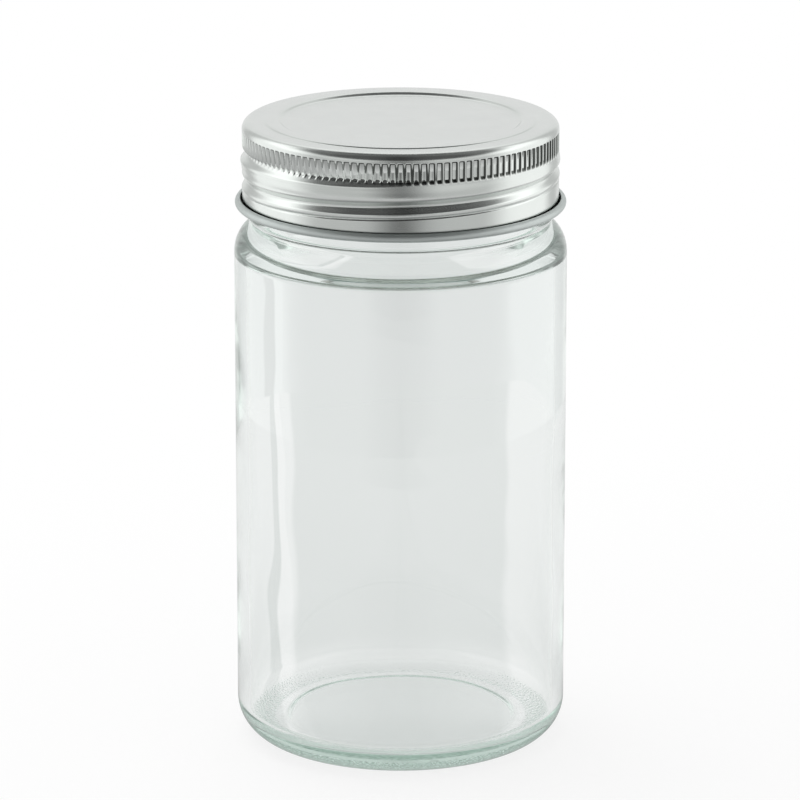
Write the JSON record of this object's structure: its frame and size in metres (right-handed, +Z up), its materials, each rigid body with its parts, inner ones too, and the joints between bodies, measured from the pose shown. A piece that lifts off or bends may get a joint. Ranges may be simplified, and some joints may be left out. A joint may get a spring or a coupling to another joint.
{
  "type": "glass storage jar",
  "caption": "Straight-sided clear glass jar with a threaded mouth and a screw-on tinplate lid: sunk panel, fluted grip, rolled thread, curled edge and sealing ring.",
  "frame": {"origin": "centre of the base, on the plane that the jar stands on", "axes": "+Z up along the jar's axis, -Y towards the side that the picture shows"},
  "size_m": [0.076, 0.076, 0.146],
  "materials": {
    "glass": "clear soda-lime glass, faintly green where it is thick",
    "seal": "soft, matte, off-white",
    "tinplate": "satin tin-coated sheet"
  },
  "bodies": {
    "jar": {"glass_jar": "glass"},
    "seal": {"lid_seal": "seal"},
    "lid": {"lid_shell": "tinplate"}
  },
  "joints": [
    {"name": "lid_lift", "type": "slide", "parent": "jar", "child": "seal", "axis": [0, 0, 1], "range_m": [0, 0.0255]},
    {"name": "lid_turn", "type": "hinge", "parent": "seal", "child": "lid", "pos_m": [0, 0, 0.135], "axis": [0, 0, 1], "range_deg": [0, 1440]}
  ],
  "couplings": [
    {"joint": "lid_lift", "follows": "lid_turn", "m_per_rad": 0.0010106}
  ]
}
